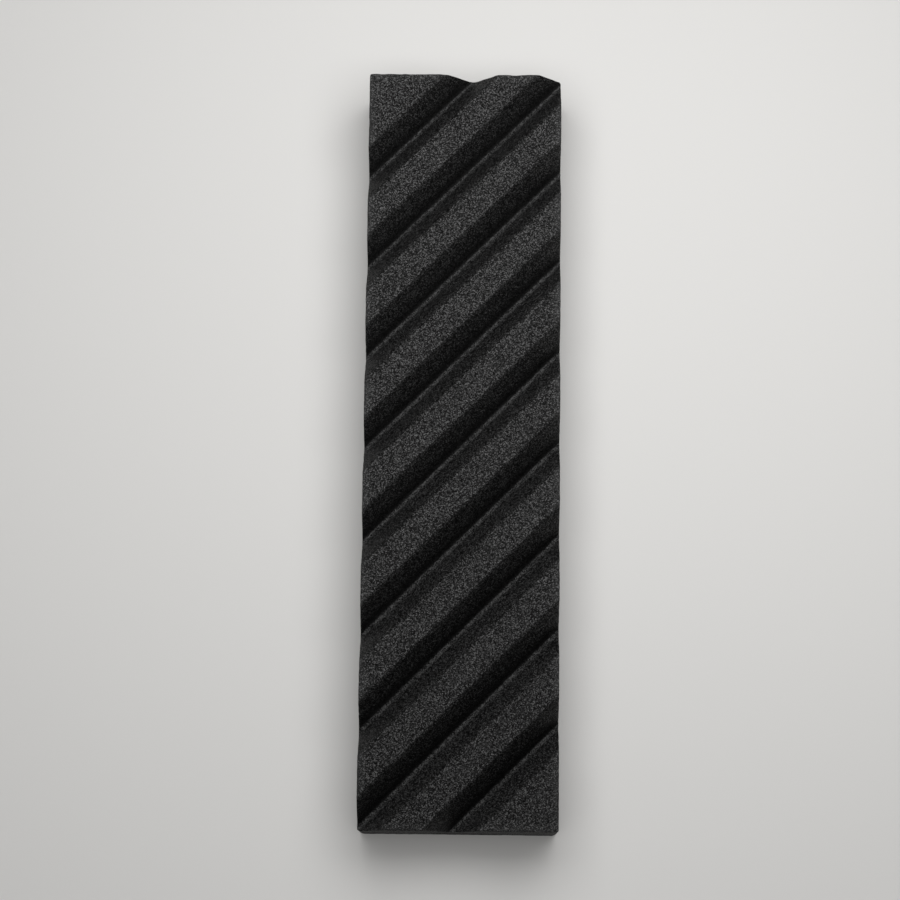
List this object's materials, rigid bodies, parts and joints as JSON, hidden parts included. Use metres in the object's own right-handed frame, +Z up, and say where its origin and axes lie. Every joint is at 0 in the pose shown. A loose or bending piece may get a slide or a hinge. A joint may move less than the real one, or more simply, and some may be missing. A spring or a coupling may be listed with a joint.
{
  "type": "grooved whetstone",
  "caption": "Rectangular block of coarse dark grey bonded abrasive, flat below, with parallel diagonal slurry grooves across its working face, for flattening and rough honing.",
  "frame": {"origin": "middle of the underside, the face that the stone rests on", "axes": "+Y along the block's length, +X across its width, +Z up through the grooved working face; the grooves run towards +X and +Y"},
  "size_m": [0.052, 0.203, 0.025],
  "materials": {
    "silicon_carbide": "matte"
  },
  "bodies": {
    "root": {"stone": "silicon_carbide"}
  },
  "joints": []
}
